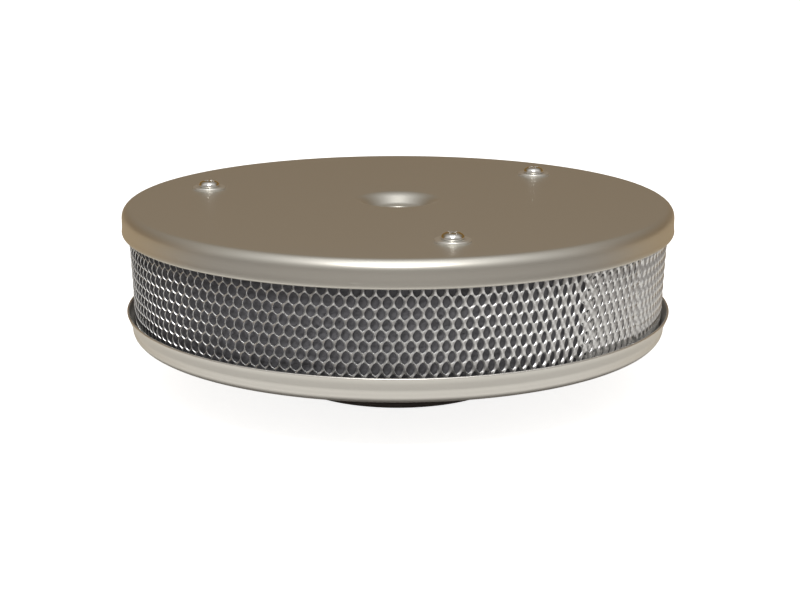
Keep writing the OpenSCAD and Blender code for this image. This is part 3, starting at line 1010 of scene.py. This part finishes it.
def foam_piece(sizes, segments=640, rows=84):
    """The foam ring: a straight bore and a tapered outside that swells between the end rings,
    its outer face broken by pores, which are the low parts of a random field."""
    low, high = foot_of("filter_foam") + 0.05 * MM, top_of("filter_foam") - 0.05 * MM
    r_in = sizes.ring_in_r + sizes.sheet + sizes.tube_sheet + 0.03 * MM
    foot_r, top_r = 68.35 * MM, 69.75 * MM
    t = np.linspace(0, 1, rows)
    outer_r = foot_r + (top_r - foot_r) * t + sizes.foam_swell * np.sin(math.pi * t)
    outer = np.stack([outer_r, low + (high - low) * t], 1)
    inner = np.stack([np.full(9, r_in), np.linspace(high, low, 9)], 1)
    outline = np.vstack([outer, inner])
    grid = lathed(outline, segments)
    skin = np.concatenate([np.sin(math.pi * t) ** 0.3, np.zeros(9)])
    field = ripple(grid, sizes.pore * 1.9, 11, 40) + 0.5 * ripple(grid, sizes.pore * 0.9, 12, 40)
    depth = skin * (0.16 * MM * field - 0.32 * MM * smooth(-field * 1.6 - 0.25))
    slow = skin * 0.18 * MM * ripple(grid, 14 * MM, 13)
    out = np.hypot(grid[..., 0], grid[..., 1])
    shift = np.minimum(depth + slow, 0.22 * MM)
    grid[..., :2] *= (1 + shift / out)[..., None]
    return make_piece("foam_ring", grid.reshape(-1, 3), [grid_faces(segments, len(outline))], 60.0)


def screen_piece(sizes):
    """The expanded metal band: a staggered lattice of six-sided cells, each opened to a long hole.
    A hole's outline is |x/a|^n + |y/b|^n = 1, with a point for each point of its cell's edge. The sheet keeps
    its middle radius along the cells' edges; along a hole it stands out by -x/a times the relief, so that
    every bond leans the same way. Five rings run from the front of the cell's edge, round the hole's edge,
    to the back. The band is longer than the ring, and its last cells lie over its first."""
    low, high = foot_of("outer_screen") + 0.02 * MM, top_of("outer_screen") - 0.02 * MM
    row_h, step = sizes.long_pitch / 2, TURN / sizes.columns
    lapped = int(round(sizes.seam_width / step))
    columns, tip = sizes.columns + lapped, row_h - sizes.bond_h
    rows = int((high - tip - sizes.first_row) / row_h) + 1
    width = step * (reach_of("outer_screen") - 1 * MM)
    bond = sizes.bond_h
    corner = np.array([(0.5, -bond), (0.5, bond), (0, tip), (-0.5, bond), (-0.5, -bond), (0, -tip)])
    edge = np.stack([corner, (corner + np.roll(corner, -1, 0)) / 2], 1).reshape(-1, 2)
    a, b = sizes.opening_w / 2, sizes.opening_h / 2
    squareness = 1.6
    reach = (np.abs(edge * (width / a, 1 / b)) ** squareness).sum(1) ** (-1 / squareness)
    hole = edge * reach[:, None]
    lip = hole * (1 + 0.07 * MM / np.linalg.norm(hole * (width, 1.0), axis=1, keepdims=True))
    lean = -hole[:, 0] * width / a * sizes.relief
    half, none = sizes.sheet / 2, np.zeros(len(edge))
    rings = [
        (edge, none, half), (lip, lean, 0.8 * half), (hole, lean, 0.0),
        (lip, lean, -0.8 * half), (edge, none, -half),
    ]
    i, j = np.meshgrid(np.arange(columns), np.arange(rows), indexing="ij")
    middle = np.stack([i + 0.5 * (j % 2), sizes.first_row + j * row_h], axis=-1).reshape(-1, 1, 2)
    layers = []
    for shape, out, t in rings:
        off = np.stack([out, np.full(len(out), t)], 1)
        layers.append(np.concatenate([middle + shape, np.broadcast_to(off, (len(middle), *off.shape))], -1))
    flat = np.stack(layers, axis=1)
    count, across, around = flat.shape[:3]
    base = grid_faces(across, around, False, True).reshape(-1, 4)[:, ::-1]
    faces = ((np.arange(count) * across * around)[:, None, None] + base).reshape(-1, 4)
    index = np.arange(count * across * around).reshape(count, across, around)
    flat, (faces, front, back) = welded(
        flat.reshape(-1, 4) * (width, 1, 1, 1), [faces, index[:, 0], index[:, -1]])
    pairs = np.stack([front, np.roll(front, -1, 1)], -1).reshape(-1, 2)
    behind = np.stack([back, np.roll(back, -1, 1)], -1).reshape(-1, 2)
    _, first, uses = np.unique(np.sort(pairs, 1), axis=0, return_index=True, return_counts=True)
    free = first[uses == 1]
    pairs, behind = pairs[free], behind[free]
    level = flat[pairs, 1].mean(1)
    above, below = level > high - row_h, level < sizes.first_row - 0.3 * row_h
    flat = list(flat[None])
    total, extra = len(flat[0]), [np.concatenate([pairs[:, ::-1], behind], 1)[~(above | below)]]
    for chosen, z in ((above, high), (below, low)):
        own, rear = pairs[chosen], behind[chosen]
        spots, own_new = np.unique(own, return_inverse=True)
        rears, rear_new = np.unique(rear, return_inverse=True)
        own_new = own_new.reshape(own.shape) + total
        rear_new = rear_new.reshape(rear.shape) + total + len(spots)
        moved = np.concatenate([flat[0][spots], flat[0][rears]])
        moved[:, 1] = z
        flat.append(moved)
        total += len(moved)
        for near, far in ((own, own_new), (own_new, rear_new), (rear_new, rear)):
            extra.append(np.concatenate([near[:, ::-1], far], 1))
    along, z, lean, thick = np.concatenate(flat).T
    column = along / width
    over, under = smooth((column - sizes.columns + 1.2) / 2.2), smooth((lapped + 1.2 - column) / 2.2)
    place = np.stack([along, z, 0 * z], 1)
    inside = np.minimum(smooth((z - low) / (3 * MM)), smooth((high - z) / (3 * MM)))
    z = z + inside * (0.14 * MM * ripple(place, 24 * MM, 21) + 0.9 * MM * over)
    foot_r = 70.0 * MM
    turn = sizes.seam_start + (column + 0.42 * over) * step + 0.12 * MM / foot_r * ripple(place, 17 * MM, 22)
    radius = foot_r - 0.4 * MM + (reach_of("outer_screen") - foot_r) * (z - low) / (high - low)
    radius += thick + lean * (1 - 0.45 * np.maximum(over, under))
    radius += 0.22 * MM * over - 0.36 * MM * under + inside * 0.07 * MM * ripple(place, 20 * MM, 23)
    points = np.stack([radius * np.cos(turn), radius * np.sin(turn), z], 1)
    return make_piece("expanded_metal_screen", points, [np.concatenate([faces, *extra])], 50.0)


# ---------------------------------------------------------------- operators


class MakeStep(bpy.types.Operator):
    """Makes one group of pieces"""

    bl_options = {"REGISTER", "UNDO"}


class AIRCLEANER_OT_cover(MakeStep):
    """Makes the pressed cover with its dish, hem and screw holes"""

    bl_idname = "air_cleaner.cover"
    bl_label = "Pressed cover"

    def execute(self, context):
        settle(cover_piece(context.scene.cover_sizes), "cover", "cover", "cover_steel")
        return {"FINISHED"}


class AIRCLEANER_OT_screws(MakeStep):
    """Makes the three low round-headed screws and their washers"""

    bl_idname = "air_cleaner.screws"
    bl_label = "Cover screws and washers"

    def execute(self, context):
        sizes = context.scene.fastener_sizes
        for number, turn in zip((1, 2, 3), (0.35, 1.2, 0.8)):
            screw = screw_piece(sizes, number, turn)
            settle(screw, f"screw_{number}", f"cover_screw_{number}", "screw_steel")
            washer = washer_piece(sizes, number)
            settle(washer, f"washer_{number}", f"screw_washer_{number}", "washer_steel")
        return {"FINISHED"}


class AIRCLEANER_OT_screen(MakeStep):
    """Makes the band of expanded metal round the filter"""

    bl_idname = "air_cleaner.screen"
    bl_label = "Expanded metal screen"

    def execute(self, context):
        settle(screen_piece(context.scene.screen_sizes), "filter_ring", "outer_screen", "screen_steel")
        return {"FINISHED"}


class AIRCLEANER_OT_filter(MakeStep):
    """Makes the foam ring with its perforated tube, end rings and seals"""

    bl_idname = "air_cleaner.filter"
    bl_label = "Filter ring"

    def execute(self, context):
        sizes = context.scene.filter_sizes
        foam = settle(foam_piece(sizes), "filter_ring", "filter_foam", "filter_foam")
        settle(inner_tube_piece(sizes), "filter_ring", "inner_screen", "tinplate")
        ends = (("lower", "bottom"), ("upper", "top"))
        for end, side in ends:
            ring = end_ring_piece(f"{end}_end_ring", sizes, f"{side}_end_ring", side == "bottom")
            settle(ring, "filter_ring", f"{side}_end_ring", "tinplate")
        for end, side in ends:
            seal = seal_piece(f"{end}_seal", f"{side}_seal")
            settle(seal, "filter_ring", f"{side}_seal", "seal_rubber")
        return {"FINISHED"}


class AIRCLEANER_OT_pan(MakeStep):
    """Makes the base pan with its flared rim, and the pillars riveted to it"""

    bl_idname = "air_cleaner.pan"
    bl_label = "Base pan and pillars"

    def execute(self, context):
        pan = lathe_piece("flared_base_pan", pan_outline(context.scene.pan_sizes), 420, pan_shape)
        settle(pan, "base", "base_pan", "pan_steel")
        for number in (1, 2, 3):
            pillar = pillar_piece(context.scene.fastener_sizes, number)
            settle(pillar, "base", f"pillar_{number}", "pillar_steel")
        return {"FINISHED"}


class AIRCLEANER_OT_neck(MakeStep):
    """Makes the steel spigot and the rubber sleeve under the pan"""

    bl_idname = "air_cleaner.neck"
    bl_label = "Neck"

    def execute(self, context):
        sizes = context.scene.neck_sizes
        spigot = lathe_piece("neck_spigot_ring", spigot_outline(sizes), 288, spigot_shape)
        settle(spigot, "base", "neck_spigot", "spigot_steel")
        sleeve = lathe_piece("rubber_neck_sleeve", sleeve_outline(sizes), 288, sleeve_shape)
        settle(sleeve, "base", "neck_sleeve", "sleeve_rubber")
        return {"FINISHED"}


# ---------------------------------------------------------------- stage


def floor_material():
    """Pale paper. Reflections see no lit paper but a painted glow: a painted shadow darkest under the pan,
    painted light close round it and a painted warm grey room further out."""
    material = bpy.data.materials.new("pale_floor")
    material.use_nodes = True
    tree = material.node_tree
    shader = tree.nodes["Principled BSDF"]
    place = add(tree, "ShaderNodeTexCoord").outputs["Object"]
    out = add(tree, "ShaderNodeVectorMath", {0: place}, operation="LENGTH").outputs["Value"]
    behind = remap(tree, add(tree, "ShaderNodeSeparateXYZ", {0: place}).outputs["Y"], -0.07, 0.06)
    fibre = noise(tree, place, 90.0, 4.0, 0.6)
    paper = mixed(tree, remap(tree, fibre, 0.3, 0.7, 0.0, 0.5), (0.86, 0.86, 0.86, 1), (0.9, 0.9, 0.9, 1))
    tree.links.new(paper, shader.inputs["Base Color"])
    shader.inputs["Roughness"].default_value = 0.9
    shader.inputs["Specular IOR Level"].default_value = 0.0
    glow = times(tree, add(tree, "ShaderNodeLightPath").outputs["Is Camera Ray"], 0.85)
    shader.inputs["Emission Color"].default_value = (1, 1, 1, 1)
    tree.links.new(glow, shader.inputs["Emission Strength"])
    # Painted reflection: glossy rays see the floor glow with this map, with a painted shadow under the pan,
    # painted light round it, and a painted warm grey and brown room further out.
    close = mixed(tree, behind, (0.95, 0.93, 0.88, 1), (0.52, 0.45, 0.34, 1))
    far = mixed(tree, behind, (0.20, 0.175, 0.16, 1), (0.48, 0.35, 0.20, 1))
    mirrored = mixed(tree, remap(tree, out, 0.13, 0.21), close, far)
    mirrored = mixed(tree, remap(tree, out, 0.072, 0.088), (0.07, 0.06, 0.05, 1), mirrored)
    shown = add(tree, "ShaderNodeEmission", {"Color": mirrored, "Strength": 1.0})
    either = add(tree, "ShaderNodeMixShader", {0: add(tree, "ShaderNodeLightPath").outputs["Is Glossy Ray"]})
    tree.links.new(shader.outputs[0], either.inputs[1])
    tree.links.new(shown.outputs[0], either.inputs[2])
    tree.links.new(either.outputs[0], tree.nodes["Material Output"].inputs["Surface"])
    material.cycles.emission_sampling = "NONE"
    return material


def ramped(tree, value, stops):
    """A colour that follows stops of (position, rgb)."""
    ramp = add(tree, "ShaderNodeValToRGB", {0: value})
    elements = ramp.color_ramp.elements
    elements[0].position, elements[0].color = stops[0][0], rgba(stops[0][1])
    elements[1].position, elements[1].color = stops[-1][0], rgba(stops[-1][1])
    for position, rgb in stops[1:-1]:
        elements.new(position).color = rgba(rgb)
    return ramp.outputs[0]


def studio_world():
    """The room: white where the camera looks at it; round the object a brown wall behind, a grey room in
    front and a pale ceiling."""
    world = bpy.data.worlds.new("studio_room")
    bpy.context.scene.world = world
    world.use_nodes = True
    tree = world.node_tree
    toward = add(tree, "ShaderNodeTexCoord").outputs["Generated"]
    direction = add(tree, "ShaderNodeSeparateXYZ", {0: toward}).outputs
    height = calc(tree, "MAXIMUM", direction["Z"], 0.0)
    back = ramped(tree, height, [
        (0.0, (0.30, 0.21, 0.11)), (0.14, (0.205, 0.115, 0.03)), (0.24, (0.215, 0.12, 0.03)),
        (0.5, (0.17, 0.12, 0.06)), (0.72, (0.26, 0.23, 0.19)),
        (0.9, (0.5, 0.49, 0.47)), (1.0, (0.6, 0.6, 0.6)),
    ])
    front = ramped(tree, height, [
        (0.0, (0.30, 0.28, 0.26)), (0.3, (0.34, 0.32, 0.30)),
        (0.6, (0.55, 0.54, 0.52)), (1.0, (0.85, 0.85, 0.85)),
    ])
    mirrored = mixed(tree, remap(tree, direction["Y"], -0.15, 0.25), front, back)
    rays = add(tree, "ShaderNodeLightPath").outputs
    shown = mixed(tree, rays["Is Camera Ray"], mirrored, (1.0, 1.0, 1.0, 1.0))
    tree.links.new(shown, tree.nodes["Background"].inputs["Color"])


def soft_light(name, place, aim, wide, tall, watts, rgb):
    """A rectangular soft box at place that faces aim."""
    data = bpy.data.lights.new(name, "AREA")
    data.shape, data.size, data.size_y = "RECTANGLE", wide, tall
    data.energy, data.color = watts, rgb
    light = bpy.data.objects.new(name, data)
    bpy.context.scene.collection.objects.link(light)
    light.location = place
    light.rotation_mode = "QUATERNION"
    facing = Vector(aim) - Vector(place)
    light.rotation_quaternion = facing.to_track_quat("-Z", "Y")


class AIRCLEANER_OT_stage(MakeStep):
    """Sets up the pale floor, the soft lights and the camera"""

    bl_idname = "air_cleaner.stage"
    bl_label = "Stage, lights and camera"

    def execute(self, context):
        settings = context.scene.stage_settings
        half, level = 6.0, -0.2 * MM
        points = [(-half, -half, level), (half, -half, level), (half, half, level), (-half, half, level)]
        floor = make_piece("studio_floor", points, [np.array([[0, 1, 2, 3]])])
        floor.data.materials.append(floor_material())
        studio_world()
        middle = (0.0, 0.0, 0.03)
        soft_light("overhead_soft_box", (0.0, -0.10, 0.60), middle, 0.30, 0.30, 0.35, (1.0, 0.99, 0.97))
        soft_light("front_soft_box", (-0.01, -0.42, 0.50), middle, 0.20, 0.16, 2.0, (1.0, 0.99, 0.97))
        data = bpy.data.cameras.new("studio_camera")
        data.lens, data.sensor_width = settings.lens, 36.0
        data.shift_x, data.shift_y = settings.shift_x, settings.shift_y
        data.clip_start, data.clip_end = 0.01, 20.0
        camera = bpy.data.objects.new("studio_camera", data)
        context.scene.collection.objects.link(camera)
        rise = settings.elevation
        back, up = settings.distance * math.cos(rise), settings.distance * math.sin(rise)
        camera.location = (0.0, -back, settings.target_z + up)
        camera.rotation_euler = (math.pi / 2 - rise, 0.0, 0.0)
        context.scene.camera = camera
        context.scene.view_settings.view_transform = "Standard"
        return {"FINISHED"}


STEPS = (
    AIRCLEANER_OT_stage,
    AIRCLEANER_OT_cover,
    AIRCLEANER_OT_screws,
    AIRCLEANER_OT_screen,
    AIRCLEANER_OT_filter,
    AIRCLEANER_OT_pan,
    AIRCLEANER_OT_neck,
)
SIZE_GROUPS = {
    "cover_sizes": CoverSizes,
    "pan_sizes": PanSizes,
    "neck_sizes": NeckSizes,
    "filter_sizes": FilterSizes,
    "screen_sizes": ScreenSizes,
    "fastener_sizes": FastenerSizes,
    "finish_colours": FinishColours,
    "stage_settings": StageSettings,
}


class AIRCLEANER_PT_panel(bpy.types.Panel):
    """Lists the steps that make the air cleaner"""

    bl_label = "Air Cleaner"
    bl_idname = "AIRCLEANER_PT_panel"
    bl_space_type = "VIEW_3D"
    bl_region_type = "UI"
    bl_category = "Air Cleaner"

    def draw(self, context):
        for step in STEPS:
            self.layout.operator(step.bl_idname)
        for name, group in SIZE_GROUPS.items():
            box = self.layout.box()
            box.label(text=name.replace("_", " ").capitalize())
            for key in group.__annotations__:
                box.prop(getattr(context.scene, name), key)


def register():
    for group in SIZE_GROUPS.values():
        bpy.utils.register_class(group)
    for name, group in SIZE_GROUPS.items():
        setattr(bpy.types.Scene, name, bpy.props.PointerProperty(type=group))
    for step in STEPS:
        bpy.utils.register_class(step)
    bpy.utils.register_class(AIRCLEANER_PT_panel)


def unregister():
    bpy.utils.unregister_class(AIRCLEANER_PT_panel)
    for step in reversed(STEPS):
        bpy.utils.unregister_class(step)
    for name, group in SIZE_GROUPS.items():
        delattr(bpy.types.Scene, name)
        bpy.utils.unregister_class(group)


def main():
    register()
    for step in STEPS:
        group, name = step.bl_idname.split(".")
        getattr(getattr(bpy.ops, group), name)()


if __name__ == "__main__":
    main()
